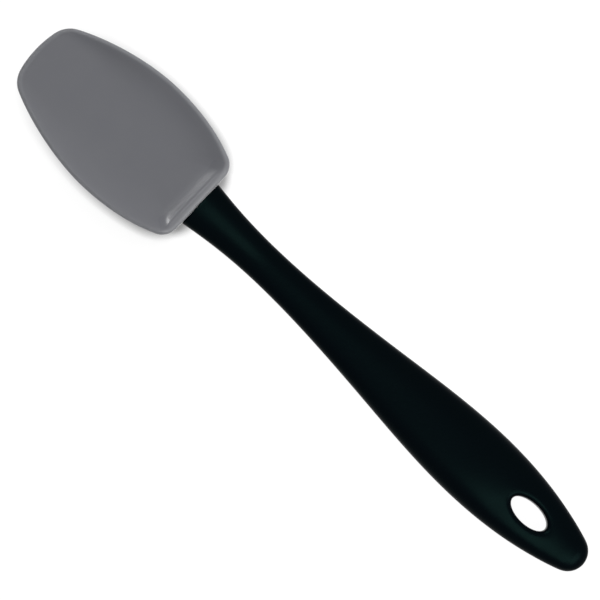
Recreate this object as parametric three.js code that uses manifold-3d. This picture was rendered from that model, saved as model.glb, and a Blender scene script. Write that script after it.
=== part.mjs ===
// A silicone spoon, in millimetres and +Z up. It lies bowl up on a table at z = 0, with its length along X,
// the tail of the handle at -X and the tip of the head at +X, and it is symmetric about y = 0.
//
// It comes apart into three pieces: a moulded handle with a hanging hole, a stiff core whose shank is
// moulded into the neck of the handle, and a soft head that pushes over the tang of the core until it
// butts against the end of the handle.
import * as THREE from "three";
import { mergeVertices } from "three/addons/utils/BufferGeometryUtils.js";
import Module from "manifold-3d";

const wasm = await Module();
wasm.setup();
const { degToRad, lerp, smoothstep } = THREE.MathUtils;

// Lengths along the spoon
const HANDLE_LENGTH = 191.4; // tail to seam
const HEAD_LENGTH = 82.2; // seam to tip
const SEAM_GAP = 0.12; // between the end of the handle and the head

// Handle, seen from above
const TAIL_RADIUS = 7.6;
const TAIL_FLARE_DEG = 19.0; // how fast the sides open out after the round tail
const BELLY_FROM_TAIL = 53.4; // where the grip is widest
const BELLY_WIDTH = 29.3;
const GRIP_HOLLOW = 0.4; // how far each side is drawn in, halfway from belly to neck
const NECK_TO_SEAM = 33.3; // from the narrowest place to the seam
const NECK_WIDTH = 14.0;
const SEAM_WIDTH = 19.4;
const SEAM_FLARE = 0.17; // sideways slope of each side at the seam

// Handle, seen from the side: how high its underside lies, and how thick it is
const TAIL_LIFT = 1.4;
const TAIL_THICKNESS = 8.4;
const BELLY_THICKNESS = 13.8;
const NECK_LIFT = 3.6;
const NECK_THICKNESS = 8.6;
const SEAM_LIFT = 0.8;
const SEAM_THICKNESS = 8.8;
const SECTION_POWER = 2.5; // 2 is an ellipse, more is squarer
const HANDLE_EDGE_RADIUS = 0.4; // round its end face

// Hanging hole, an oval with rounded edges
const HOLE_FROM_TAIL = 27.2;
const HOLE_LENGTH = 16.8;
const HOLE_WIDTH = 8.2;
const HOLE_EDGE_RADIUS = 2.2;

// Head, seen from above
const HEAD_WIDTH = 50.1;
const WIDEST_FROM_TIP = 47.0;
const TIP_RADIUS = 40.8; // the nearly straight scraping edge
const TIP_CORNER_RADIUS = 9.9;
const TIP_CORNER_SPACING = 13.7; // between the centres of the two tip corners
const TIP_SIDE_DEG = 65; // where the tip corner hands over to the side, measured from +X
const SHOULDER_RADIUS = 7.0;
const SHOULDER_SPACING = 25.8; // between the centres of the two shoulders
const SHOULDER_SIDE_DEG = 115; // where the side hands over to the shoulder
const SIDE_PULL = 0.3; // how far the curves between them run on along their ends
const LEDGE_WIDTH = 5.3; // flat top of the socket, from the seam to the bowl
const LEDGE_STEP = 1.0; // how far that top stands over the handle

// Head, seen from the side
const RIM_RADIUS = 1.2; // rounding of the rim
const BOWL_DEPTH = 3.2; // of the floor below the rim, along the sides
const TIP_RUN_OUT = 32.0; // the length over which the bowl runs out to the tip
const TIP_HEIGHT = 3.5; // thickness of the scraping edge
const TIP_LIP = 0.6; // how far that edge stands over the line of the floor
const TIP_SLOPE = 0.24; // how fast the floor falls there
const TIP_WALL_SWEEP = 5.0; // how far the inside wall reaches in from the rim before it is floor
const SIDE_WALL_SWEEP = 18.0;
const REAR_WALL_SWEEP = 14.0;
const WALL_FLARE = 3; // 1 is a straight slope, more is dished
const HULL_LEAN = 0.7; // how far the outside leans in, for each millimetre of its height
const SOLE_FROM_SEAM = 14.0; // where the underside reaches the table
const SEAM_EDGE_RADIUS = 0.8; // round the end of the socket
const SKIN = 1.3; // silicone over the pocket

// Core: the shank in the handle and the tang in the head, a wedge with a level top
const SHANK_LENGTH = 42.0;
const TANG_LENGTH = 34.0;
const TANG_LIFT = 3.4; // its underside above the table, at the seam
const TANG_THICKNESS = 3.2;
const TANG_TIP_THICKNESS = 1.6;
const TANG_TIP_WIDTH = 9.0;
const SOCKET_WALL = 3.8; // silicone beside the tang at the seam
const NECK_WALL = 2.4; // plastic beside the shank at the neck
const CORE_END_ROUND = 3.0;
const BARB_COUNT = 3;
const BARB_PITCH = 7.5;
const BARB_DEPTH = 0.4;
const BARB_RAMP = 3.0;
const KEY_HOLE_COUNT = 2;
const KEY_HOLE_DIAMETER = 4.2;
const KEY_HOLE_PITCH = 14.0;
const CORE_CLEARANCE = 0.3; // all round the core, and between a key and its hole

// How finely the curved faces are cut
const HANDLE_SECTION_POINTS = 32;
const HANDLE_STEP = 5.0;
const TAIL_STEPS = 6;
const CORE_SECTION_POINTS = 20;
const CORE_SECTION_POWER = 6;
const CORE_STEP = 6.0;
const HOLE_POINTS = 28;
const WALL_STEPS = 7;

// Places that follow from the sizes
const SEAM = HANDLE_LENGTH;
const NECK = SEAM - NECK_TO_SEAM;
const HEAD_START = SEAM + SEAM_GAP;
const TIP = HEAD_START + HEAD_LENGTH;
const WIDEST = TIP - WIDEST_FROM_TIP;
const LEDGE_TOP = SEAM_LIFT + SEAM_THICKNESS + LEDGE_STEP;
const SHANK_END = SEAM - SHANK_LENGTH;
const TANG_END = SEAM + TANG_LENGTH;
const TANG_WIDTH = SEAM_WIDTH - 2 * SOCKET_WALL;
const SHANK_WIDTH = NECK_WIDTH - 2 * NECK_WALL;

// Curves and skins

// A smooth line through stations of [x, value, slope], one cubic piece between each two.
function smoothLine(...stations) {
  return (x) => {
    const next = stations.findIndex((s, k) => k > 0 && (s[0] >= x || k === stations.length - 1));
    const [x0, v0, m0] = stations[next - 1];
    const [x1, v1, m1] = stations[next];
    const run = x1 - x0;
    const t = Math.min(1, Math.max(0, (x - x0) / run));
    const t2 = t * t;
    const t3 = t2 * t;
    const fromStart = v0 * (2 * t3 - 3 * t2 + 1) + m0 * run * (t3 - 2 * t2 + t);
    const fromEnd = v1 * (3 * t2 - 2 * t3) + m1 * run * (t3 - t2);
    return fromStart + fromEnd;
  };
}

// 0 at the end of a round nose, 1 from one radius on.
function noseShare(distance, radius) {
  const t = Math.min(1, Math.max(0, distance / radius));
  return Math.sqrt(1 - (1 - t) ** 2);
}

// Even steps from one place to another, no longer than the step asked for.
function steps(from, to, step) {
  const count = Math.max(1, Math.ceil((to - from) / step));
  return Array.from({ length: count + 1 }, (_, k) => lerp(from, to, k / count));
}

// Steps over a quarter turn of a round nose, as distances from its end, close together at the end.
function noseSteps(radius, count) {
  return Array.from({ length: count }, (_, k) => radius * (1 - Math.cos(((k + 0.5) * Math.PI) / 2 / count)));
}

// A superellipse across the spoon, as a ring of points that runs from +Y over +Z.
function sectionRing(x, z, halfWidth, halfHeight, power, count) {
  const bulge = (v) => Math.sign(v) * Math.abs(v) ** (2 / power);
  return Array.from({ length: count }, (_, k) => {
    const a = (2 * Math.PI * k) / count;
    return new THREE.Vector3(x, halfWidth * bulge(Math.cos(a)), z + halfHeight * bulge(Math.sin(a)));
  });
}

// Triangles that close a ring round a middle point.
function fanCap(ring, first, middle, facesBack) {
  const n = ring.length;
  return ring.flatMap((_, i) => {
    const here = first + i;
    const next = first + ((i + 1) % n);
    return facesBack ? [middle, next, here] : [middle, here, next];
  });
}

// Triangles that close a ring whose second half mirrors its first, with rungs straight across.
function ladderCap(ring, first, facesBack) {
  const n = ring.length;
  const triangles = [];
  for (let i = 0; i < n / 2; i++) {
    const mirror = n - i;
    if (i > 0) triangles.push([i, mirror - 1, mirror]);
    if (i + 1 < n / 2) triangles.push([i, i + 1, mirror - 1]);
  }
  return triangles.flatMap((t) => (facesBack ? t.reverse() : t).map((i) => first + i));
}

// A closed skin over rings of equal count, each anticlockwise as seen from the last ring's side.
function loft(rings, cap = "fan") {
  const n = rings[0].length;
  const points = rings.flat();
  const index = [];
  for (let k = 0; k + 1 < rings.length; k++) {
    for (let i = 0; i < n; i++) {
      const a = k * n + i;
      const b = k * n + ((i + 1) % n);
      index.push(a, b, a + n, b, b + n, a + n);
    }
  }
  const end = (rings.length - 1) * n;
  if (cap === "ladder") {
    index.push(...ladderCap(rings[0], 0, true), ...ladderCap(rings.at(-1), end, false));
  } else {
    const middle = (ring) => ring.reduce((sum, p) => sum.add(p), new THREE.Vector3()).divideScalar(n);
    points.push(middle(rings[0]), middle(rings.at(-1)));
    index.push(...fanCap(rings[0], 0, points.length - 2, true));
    index.push(...fanCap(rings.at(-1), end, points.length - 1, false));
  }
  return new THREE.BufferGeometry().setFromPoints(points).setIndex(index);
}

// A geometry as a solid that can be joined and cut.
function solid(geometry) {
  geometry.deleteAttribute("normal");
  geometry.deleteAttribute("uv");
  const merged = mergeVertices(geometry, 1e-4);
  const mesh = new wasm.Mesh({
    numProp: 3,
    vertProperties: merged.attributes.position.array,
    triVerts: new Uint32Array(merged.index.array),
  });
  return new wasm.Manifold(mesh);
}

// A solid as a named piece of the spoon.
function pieceOf(made, name, material) {
  const { vertProperties, triVerts } = made.getMesh();
  const geometry = new THREE.BufferGeometry()
    .setAttribute("position", new THREE.BufferAttribute(vertProperties, 3))
    .setIndex(new THREE.BufferAttribute(triVerts, 1));
  geometry.computeVertexNormals();
  const mesh = new THREE.Mesh(geometry, material);
  mesh.name = name;
  return mesh;
}

// Lines of the handle

const tailFlare = degToRad(TAIL_FLARE_DEG);
const TAIL_ARC_END = TAIL_RADIUS * (1 - Math.sin(tailFlare));
const GRIP_RUN = NECK - BELLY_FROM_TAIL;
const GRIP_SLOPE = (1.45 * (BELLY_WIDTH - NECK_WIDTH)) / 2 / GRIP_RUN;
const sideLine = smoothLine(
  [TAIL_ARC_END, TAIL_RADIUS * Math.cos(tailFlare), Math.tan(tailFlare)],
  [BELLY_FROM_TAIL, BELLY_WIDTH / 2, 0],
  [BELLY_FROM_TAIL + GRIP_RUN / 2, (BELLY_WIDTH + NECK_WIDTH) / 4 - GRIP_HOLLOW, -GRIP_SLOPE],
  [NECK, NECK_WIDTH / 2, 0],
  [SEAM, SEAM_WIDTH / 2, SEAM_FLARE],
);
const underside = smoothLine(
  [0, TAIL_LIFT, 0],
  [BELLY_FROM_TAIL, 0, 0],
  [NECK, NECK_LIFT, 0],
  [SEAM, SEAM_LIFT, 0],
);
const thickness = smoothLine(
  [0, TAIL_THICKNESS, 0],
  [BELLY_FROM_TAIL, BELLY_THICKNESS, 0],
  [NECK, NECK_THICKNESS, 0],
  [SEAM, SEAM_THICKNESS, 0],
);

function handleHalfWidth(x) {
  return x < TAIL_ARC_END ? TAIL_RADIUS * noseShare(x, TAIL_RADIUS) : sideLine(x);
}

function handleMiddle(x) {
  return underside(x) + thickness(x) / 2;
}

// How far the surface lies above and below the middle, at a point of the plan.
function handleRise(x, y) {
  const share = Math.min(1, Math.abs(y) / handleHalfWidth(x));
  return (thickness(x) / 2) * noseShare(x, TAIL_RADIUS) * (1 - share ** SECTION_POWER) ** (1 / SECTION_POWER);
}

// Core: one bar that curves down through the neck and runs on level into the head

const coreHalfWidth = smoothLine(
  [SHANK_END, SHANK_WIDTH / 2, 0],
  [NECK, SHANK_WIDTH / 2, 0],
  [SEAM, TANG_WIDTH / 2, 0],
  [TANG_END, TANG_TIP_WIDTH / 2, 0],
);
const coreHalfThickness = smoothLine(
  [SHANK_END, TANG_THICKNESS / 2, 0],
  [SEAM, TANG_THICKNESS / 2, 0],
  [TANG_END, TANG_TIP_THICKNESS / 2, 0],
);
const shankMiddle = smoothLine(
  [SHANK_END, handleMiddle(SHANK_END), 0],
  [SEAM, TANG_LIFT + TANG_THICKNESS / 2, 0],
);

function coreMiddle(x) {
  return x < SEAM ? shankMiddle(x) : TANG_LIFT + TANG_THICKNESS - coreHalfThickness(x);
}

// The bar, grown by the amounts asked for. Barbs are saw teeth along both edges of the tang.
function coreBar({ wider = 0, thicker = 0, longer = 0, barbs = 0 }) {
  const from = SHANK_END - longer;
  const to = TANG_END + longer;
  const lastTooth = TANG_END - CORE_END_ROUND - BARB_RAMP;
  const teeth = Array.from({ length: barbs }, (_, k) => lastTooth - k * BARB_PITCH);
  const toothAt = (x) => {
    const tooth = teeth.find((start) => x >= start && x <= start + BARB_RAMP);
    return tooth === undefined ? 0 : BARB_DEPTH * (1 - (x - tooth) / BARB_RAMP);
  };
  const nose = noseSteps(CORE_END_ROUND, 4);
  const places = [
    ...nose.map((d) => from + d),
    ...steps(from + CORE_END_ROUND, to - CORE_END_ROUND, CORE_STEP),
    ...teeth.flatMap((start) => [start - BARB_DEPTH / 2, start, start + BARB_RAMP / 2]),
    ...nose.map((d) => to - d),
  ];
  const rings = places
    .sort((a, b) => a - b)
    .map((x) => {
      const round = noseShare(Math.min(x - from, to - x), CORE_END_ROUND);
      const halfWidth = coreHalfWidth(x) + wider + toothAt(x) - CORE_END_ROUND * (1 - round);
      const halfThickness = (coreHalfThickness(x) + thicker) * lerp(0.6, 1, round);
      return sectionRing(x, coreMiddle(x), halfWidth, halfThickness, CORE_SECTION_POWER, CORE_SECTION_POINTS);
    });
  return solid(loft(rings));
}

// Upright round bars through the shank: its holes, and the keys of handle plastic that fill them.
function keys(radius) {
  const bars = Array.from({ length: KEY_HOLE_COUNT }, (_, k) => {
    const x = SHANK_END + CORE_END_ROUND + KEY_HOLE_DIAMETER + k * KEY_HOLE_PITCH;
    const bar = new THREE.CylinderGeometry(radius, radius, 2 * TANG_THICKNESS, 16);
    bar.rotateX(Math.PI / 2);
    bar.translate(x, 0, coreMiddle(x));
    return solid(bar);
  });
  return bars.reduce((all, bar) => all.add(bar));
}

function makeCore() {
  return coreBar({ barbs: BARB_COUNT }).subtract(keys(KEY_HOLE_DIAMETER / 2));
}

// Handle: a loft of rounded sections from the tail to the seam

// The hanging hole as a solid: an oval throat that opens at both faces along the rounded edge.
function holeCutter() {
  const ring = (offset, height) =>
    Array.from({ length: HOLE_POINTS }, (_, k) => {
      const a = (2 * Math.PI * k) / HOLE_POINTS;
      const x = HOLE_FROM_TAIL + (HOLE_LENGTH / 2 + offset) * Math.cos(a);
      const y = (HOLE_WIDTH / 2 + offset) * Math.sin(a);
      return new THREE.Vector3(x, y, handleMiddle(x) + height(handleRise(x, y)));
    });
  const turns = [0, 22.5, 45, 67.5].map(degToRad);
  const edge = turns.map((a) => ({
    offset: HOLE_EDGE_RADIUS * (1 - Math.cos(a)),
    depth: HOLE_EDGE_RADIUS * (1 - Math.sin(a)),
  }));
  // past the rounded edge it runs straight on, out of the handle
  const last = edge.at(-1);
  const mouth = {
    offset: last.offset + (HOLE_EDGE_RADIUS / 2) * Math.sin(turns.at(-1)),
    depth: last.depth - (HOLE_EDGE_RADIUS / 2) * Math.cos(turns.at(-1)),
  };
  const beyond = { offset: mouth.offset, depth: mouth.depth - HOLE_EDGE_RADIUS };
  const levels = [...edge, mouth, beyond];
  const under = levels.toReversed().map((l) => ring(l.offset, (rise) => l.depth - rise));
  const over = levels.map((l) => ring(l.offset, (rise) => rise - l.depth));
  return solid(loft([...under, ...over]));
}

function makeHandle() {
  const tail = noseSteps(TAIL_RADIUS, TAIL_STEPS);
  const grip = steps(TAIL_RADIUS, SEAM - HANDLE_EDGE_RADIUS, HANDLE_STEP);
  const rings = [...tail, ...grip, SEAM].map((x) => {
    const trim = x === SEAM ? HANDLE_EDGE_RADIUS : 0;
    return sectionRing(
      x,
      handleMiddle(x),
      handleHalfWidth(x) - trim,
      handleRise(x, 0) - trim,
      SECTION_POWER,
      HANDLE_SECTION_POINTS,
    );
  });
  const socket = coreBar({ wider: CORE_CLEARANCE, thicker: CORE_CLEARANCE, longer: CORE_CLEARANCE });
  const key = keys(KEY_HOLE_DIAMETER / 2 - CORE_CLEARANCE);
  return solid(loft(rings)).subtract(holeCutter()).subtract(socket.subtract(key));
}

// Head: a shallow scoop whose rim, walls and floor follow one outline, with a socket at the back

// The outline from the middle of the tip, over the +Y side, to the middle of the back, drawn in by an inset.
function headSide(inset) {
  const tipCentre = TIP - TIP_RADIUS;
  const cornerReach = TIP_RADIUS - TIP_CORNER_RADIUS;
  const tipTurn = Math.asin(TIP_CORNER_SPACING / 2 / cornerReach);
  const sideTurn = degToRad(TIP_SIDE_DEG);
  const shoulderTurn = degToRad(SHOULDER_SIDE_DEG);
  const cornerX = tipCentre + cornerReach * Math.cos(tipTurn);
  const arc = (x, y, radius, from, to) => {
    const drawnIn = radius - inset;
    return new THREE.EllipseCurve(x, y, drawnIn, drawnIn, from, to);
  };
  const bend = (from, fromSlope, to, toSlope) => {
    const pull = SIDE_PULL * (to.x - from.x);
    const leave = new THREE.Vector2(from.x + pull, from.y + pull * fromSlope);
    const arrive = new THREE.Vector2(to.x - pull, to.y - pull * toSlope);
    return new THREE.CubicBezierCurve(from, leave, arrive, to);
  };
  const tip = arc(tipCentre, 0, TIP_RADIUS, 0, tipTurn);
  const corner = arc(cornerX, TIP_CORNER_SPACING / 2, TIP_CORNER_RADIUS, tipTurn, sideTurn);
  const shoulderX = HEAD_START + SHOULDER_RADIUS;
  const shoulder = arc(shoulderX, SHOULDER_SPACING / 2, SHOULDER_RADIUS, shoulderTurn, Math.PI);
  const widest = new THREE.Vector2(WIDEST, HEAD_WIDTH / 2 - inset);
  const front = bend(corner.getPoint(1), -1 / Math.tan(sideTurn), widest, 0);
  const rear = bend(widest, 0, shoulder.getPoint(0), -1 / Math.tan(shoulderTurn));
  const back = new THREE.LineCurve(shoulder.getPoint(1), new THREE.Vector2(HEAD_START + inset, 0));
  const pieces = [
    [tip, 4],
    [corner, 6],
    [front, 10],
    [rear, 6],
    [shoulder, 8],
    [back, 4],
  ];
  return [tip.getPoint(0), ...pieces.flatMap(([curve, count]) => curve.getPoints(count).slice(1))];
}

// The floor runs level over the pocket of the tang and then falls away to the tip.
const FLOOR_HEIGHT = TANG_LIFT + TANG_THICKNESS + CORE_CLEARANCE + SKIN;
const floorLine = smoothLine(
  [SEAM, FLOOR_HEIGHT, 0],
  [TANG_END, FLOOR_HEIGHT, 0],
  [TIP, TIP_HEIGHT - TIP_LIP, -TIP_SLOPE],
);
const soleLine = smoothLine([HEAD_START, SEAM_LIFT, -0.1], [HEAD_START + SOLE_FROM_SEAM, 0, 0], [TIP, 0, 0]);

// What the wall of the bowl does at each place of the outline. It leans toward a spine along the floor.
function rimPlaces() {
  const drawnIn = headSide(1);
  const spineStart = lerp(HEAD_START, WIDEST, 0.9);
  const spineEnd = TIP - 2 * TIP_CORNER_RADIUS;
  const tipShare = TIP_WALL_SWEEP / (TIP - spineEnd);
  const sideShare = SIDE_WALL_SWEEP / (HEAD_WIDTH / 2);
  const rearShare = REAR_WALL_SWEEP / (spineStart - HEAD_START - LEDGE_WIDTH);
  return headSide(0).map((at, i) => {
    const towardTip = (at.x - HEAD_START) / HEAD_LENGTH;
    const depth = lerp(BOWL_DEPTH, TIP_LIP, smoothstep(at.x, TIP - TIP_RUN_OUT, TIP));
    const sweep = lerp(tipShare, sideShare, smoothstep(1 - towardTip, 0, 0.5));
    // 0 round most of the rim and 1 along the seam, where the rim dips and widens to a ledge
    const ledge = at.x < WIDEST ? 1 - smoothstep(at.y, SEAM_WIDTH / 2, HEAD_WIDTH / 2 - RIM_RADIUS) : 0;
    return {
      at,
      outward: at.clone().sub(drawnIn[i]),
      spine: new THREE.Vector2(Math.min(spineEnd, Math.max(spineStart, at.x)), 0),
      rim: lerp(floorLine(at.x) + depth, LEDGE_TOP, ledge),
      flat: (LEDGE_WIDTH - 2 * RIM_RADIUS) * ledge,
      sweepShare: lerp(sweep, rearShare, ledge),
    };
  });
}

// Rings from the sole, up the outside, over the rim and down the inside to the floor.
function bowl() {
  const shares = Array.from({ length: WALL_STEPS }, (_, k) => k / (WALL_STEPS - 1));
  const drawnIn = (p, by) => p.at.clone().addScaledVector(p.outward, -by);

  // a convex side that is upright at the rim and level at the sole
  const outside = (share) => (p) => {
    const turn = (share * Math.PI) / 2;
    const lean = (by) => p.spine.clone().sub(p.at).setLength(by).add(p.at);
    const top = p.rim - RIM_RADIUS;
    const drop = top - soleLine(lean(HULL_LEAN * top).x);
    return [lean(HULL_LEAN * drop * (1 - Math.cos(turn))), top - drop * Math.sin(turn)];
  };

  // the round rim, with the ledge as a flat on top of it
  const overRim = (turn) => (p) => {
    const flat = turn > Math.PI / 2 ? p.flat : 0;
    return [drawnIn(p, RIM_RADIUS * (1 - Math.cos(turn)) + flat), p.rim - RIM_RADIUS * (1 - Math.sin(turn))];
  };

  // a dished slope that leaves the rim along its rounding and flattens out into the floor
  const wallTurn = degToRad(125);
  const inside = (share) => (p) => {
    const [start, top] = overRim(wallTurn)(p);
    const here = start.clone().lerp(p.spine, p.sweepShare * share);
    const wall = (top - floorLine(start.x)) * (1 - share) ** WALL_FLARE;
    return [here, floorLine(here.x) + wall];
  };

  const levels = [
    ...shares.toReversed().map(outside),
    ...[30, 60, 89, 91, 108].map(degToRad).map(overRim),
    ...shares.map(inside),
  ];
  const places = rimPlaces();
  const rings = levels.map((level) => {
    const half = places.map((p) => {
      const [plan, z] = level(p);
      return new THREE.Vector3(plan.x, plan.y, z);
    });
    const mirrored = half.slice(1, -1).toReversed().map((p) => new THREE.Vector3(p.x, -p.y, p.z));
    return [...half, ...mirrored];
  });
  return loft(rings, "ladder");
}

// The socket: it carries on the shape of the neck from the seam and runs out under the floor of the bowl.
function socketBoss() {
  const station = (fromSeam, high, trim = 0) => {
    const x = HEAD_START + fromSeam;
    const low = soleLine(x) + trim;
    const middle = (low + high - trim) / 2;
    const halfHeight = (high - trim - low) / 2;
    return sectionRing(x, middle, SEAM_WIDTH / 2 - trim, halfHeight, SECTION_POWER, HANDLE_SECTION_POINTS);
  };
  const edge = [0, 30, 60].map(degToRad);
  const rounded = (a) => {
    const trim = SEAM_EDGE_RADIUS * (1 - Math.sin(a));
    return station(SEAM_EDGE_RADIUS * (1 - Math.cos(a)), LEDGE_TOP, trim);
  };
  return loft([
    ...edge.map(rounded),
    station(LEDGE_WIDTH / 2, LEDGE_TOP - RIM_RADIUS / 4),
    station(LEDGE_WIDTH, lerp(LEDGE_TOP, FLOOR_HEIGHT, 0.5)),
    station(SOLE_FROM_SEAM, FLOOR_HEIGHT, SKIN),
  ]);
}

function makeHead() {
  const pocket = coreBar({
    wider: CORE_CLEARANCE + BARB_DEPTH,
    thicker: CORE_CLEARANCE,
    longer: CORE_CLEARANCE,
  });
  return solid(bowl()).add(solid(socketBoss())).subtract(pocket);
}

// The spoon, with the middle of its length at the origin

const blackPlastic = new THREE.MeshStandardMaterial({ color: 0x0a1011, roughness: 0.42, metalness: 0 });
const filledNylon = new THREE.MeshStandardMaterial({ color: 0x2b2d2f, roughness: 0.62, metalness: 0 });
const greySilicone = new THREE.MeshStandardMaterial({ color: 0x6b6c70, roughness: 0.58, metalness: 0 });

const spoon = new THREE.Group();
spoon.add(
  pieceOf(makeHandle(), "handle", blackPlastic),
  pieceOf(makeCore(), "tang_core", filledNylon),
  pieceOf(makeHead(), "silicone_head", greySilicone),
);
spoon.children.forEach((piece) => piece.position.setX(-TIP / 2));

export default spoon;
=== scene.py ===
import math

import bmesh
import bpy
from mathutils import Matrix, Vector
from mathutils.geometry import interpolate_bezier


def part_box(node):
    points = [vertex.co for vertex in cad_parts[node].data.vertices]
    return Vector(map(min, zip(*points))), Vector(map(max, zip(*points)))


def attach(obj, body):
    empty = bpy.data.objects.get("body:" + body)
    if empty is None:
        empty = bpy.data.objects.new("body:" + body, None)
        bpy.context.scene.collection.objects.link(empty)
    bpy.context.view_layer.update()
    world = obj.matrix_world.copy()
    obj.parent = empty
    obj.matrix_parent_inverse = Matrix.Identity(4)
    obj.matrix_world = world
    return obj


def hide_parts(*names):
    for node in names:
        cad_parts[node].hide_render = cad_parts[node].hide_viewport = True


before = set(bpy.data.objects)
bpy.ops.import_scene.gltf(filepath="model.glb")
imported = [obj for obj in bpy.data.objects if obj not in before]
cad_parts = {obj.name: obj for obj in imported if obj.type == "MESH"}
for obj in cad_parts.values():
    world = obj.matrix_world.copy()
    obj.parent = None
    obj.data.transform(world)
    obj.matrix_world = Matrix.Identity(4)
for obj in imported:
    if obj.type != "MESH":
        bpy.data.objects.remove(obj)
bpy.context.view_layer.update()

# Nylon core
# A flat bar of glass-filled nylon, moulded before the rest. Its shank lies in the neck of the handle,
# where the black plastic has flowed through its two holes, and its tang stands out of the neck, with saw
# teeth along both edges that hold the soft head.
MM = 0.001
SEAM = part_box("handle")[1].x
NECK = SEAM - 33.3 * MM
core_low, core_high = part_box("tang_core")
SHANK_WIDTH = 9.2 * MM
TANG_TIP_WIDTH = 9.0 * MM
CORE_THICKNESS = 3.2 * MM
TANG_TIP_THICKNESS = 1.6 * MM
CORE_END_ROUND = 3.0 * MM
CORE_END_THINNED = 0.6
CORE_END_STEPS = 4
CORE_EDGE_ROUND = 0.5 * MM
CORE_EDGE_STEPS = 3
CORE_STEP = 6.0 * MM
TOOTH_COUNT = 3
TOOTH_PITCH = 7.5 * MM
TOOTH_DEPTH = 0.4 * MM
TOOTH_BACK = TOOTH_DEPTH / 4
TOOTH_RAMP = 3.0 * MM
KEY_HOLE_RADIUS = 2.1 * MM
KEY_HOLE_PITCH = 14.0 * MM
KEY_HOLE_COUNT = 2
KEY_HOLE_SIDES = 32
NEARBY = 0.01 * MM
SAME_PLACE = 0.001 * MM
SHARP_ANGLE = math.radians(35)


def smooth_line(*stations):
    """A line through stations of (place, value, slope), one cubic piece between each two."""
    def value_at(place):
        pieces = list(zip(stations, stations[1:]))
        before, after = next((p for p in pieces if place <= p[1][0]), pieces[-1])
        run = after[0] - before[0]
        t = min(1.0, max(0.0, (place - before[0]) / run))
        leaving = before[1] * (2 * t**3 - 3 * t**2 + 1) + before[2] * run * (t**3 - 2 * t**2 + t)
        arriving = after[1] * (3 * t**2 - 2 * t**3) + after[2] * run * (t**3 - t**2)
        return leaving + arriving

    return value_at


def nose_share(distance, radius):
    """0 at the end of a round nose, and 1 from one radius on."""
    t = min(1.0, max(0.0, distance / radius))
    return math.sqrt(1 - (1 - t) ** 2)


def nose_steps(radius, count):
    """Distances from the end of a round nose, close together at the end."""
    return [radius * (1 - math.cos(math.pi / 2 * k / count)) for k in range(count)]


def even_steps(start, stop, step):
    """Even steps from one place to another, both ends included."""
    count = max(1, math.ceil((stop - start) / step))
    return [start + (stop - start) * k / count for k in range(count + 1)]


def pick(kind, test, open_only=False):
    """In edit mode, selects the points, edges or faces whose middle passes the test, and nothing else."""
    bpy.ops.mesh.select_mode(type=kind)
    bpy.ops.mesh.select_all(action="DESELECT")
    mesh = bmesh.from_edit_mesh(bpy.context.object.data)
    for part in {"VERT": mesh.verts, "EDGE": mesh.edges, "FACE": mesh.faces}[kind]:
        points = [part] if kind == "VERT" else part.verts
        middle = sum((p.co for p in points), Vector()) / len(points)
        if test(middle) and (not open_only or part.is_boundary):
            part.select_set(True)
    mesh.select_flush_mode()
    bmesh.update_edit_mesh(bpy.context.object.data)


def carry_on(stations):
    """Extrudes the selected end from station to station, each (x, z, half width, half height)."""
    for before, after in zip(stations, stations[1:]):
        step = (after[0] - before[0], 0, after[1] - before[1])
        bpy.ops.mesh.extrude_region_move(TRANSFORM_OT_translate={"value": step})
        size = (1, after[2] / before[2], after[3] / before[3])
        bpy.ops.transform.resize(value=size, center_override=(after[0], 0, after[1]))


def closed_and_outward():
    """In edit mode, merges doubled points and turns every face outward."""
    bpy.ops.mesh.select_all(action="SELECT")
    bpy.ops.mesh.remove_doubles(threshold=SAME_PLACE)
    bpy.ops.mesh.normals_make_consistent(inside=False)


def apply_modifier(piece, kind, **settings):
    """Adds a modifier with its settings to the active piece, and applies it."""
    modifier = piece.modifiers.new(kind.title(), kind)
    for name, value in settings.items():
        setattr(modifier, name, value)
    bpy.ops.object.modifier_apply(modifier=modifier.name)


def cut_away(piece, tool):
    """Cuts a tool's shape out of a piece, and removes the tool."""
    bpy.ops.object.select_all(action="DESELECT")
    bpy.context.view_layer.objects.active = piece
    apply_modifier(piece, "BOOLEAN", operation="DIFFERENCE", object=tool, solver="EXACT")
    bpy.data.objects.remove(tool)


core_half_width = smooth_line(
    (core_low.x, SHANK_WIDTH / 2, 0),
    (NECK, SHANK_WIDTH / 2, 0),
    (SEAM, core_high.y, 0),
    (core_high.x, TANG_TIP_WIDTH / 2, 0),
)
core_half_thickness = smooth_line(
    (core_low.x, CORE_THICKNESS / 2, 0),
    (SEAM, CORE_THICKNESS / 2, 0),
    (core_high.x, TANG_TIP_THICKNESS / 2, 0),
)
shank_middle = smooth_line(
    (core_low.x, core_high.z - CORE_THICKNESS / 2, 0),
    (SEAM, core_low.z + CORE_THICKNESS / 2, 0),
)


def core_middle(x):
    """How high the middle of the core lies: the shank curves down to the tang, whose top is level."""
    return shank_middle(x) if x < SEAM else core_low.z + CORE_THICKNESS - core_half_thickness(x)


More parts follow.
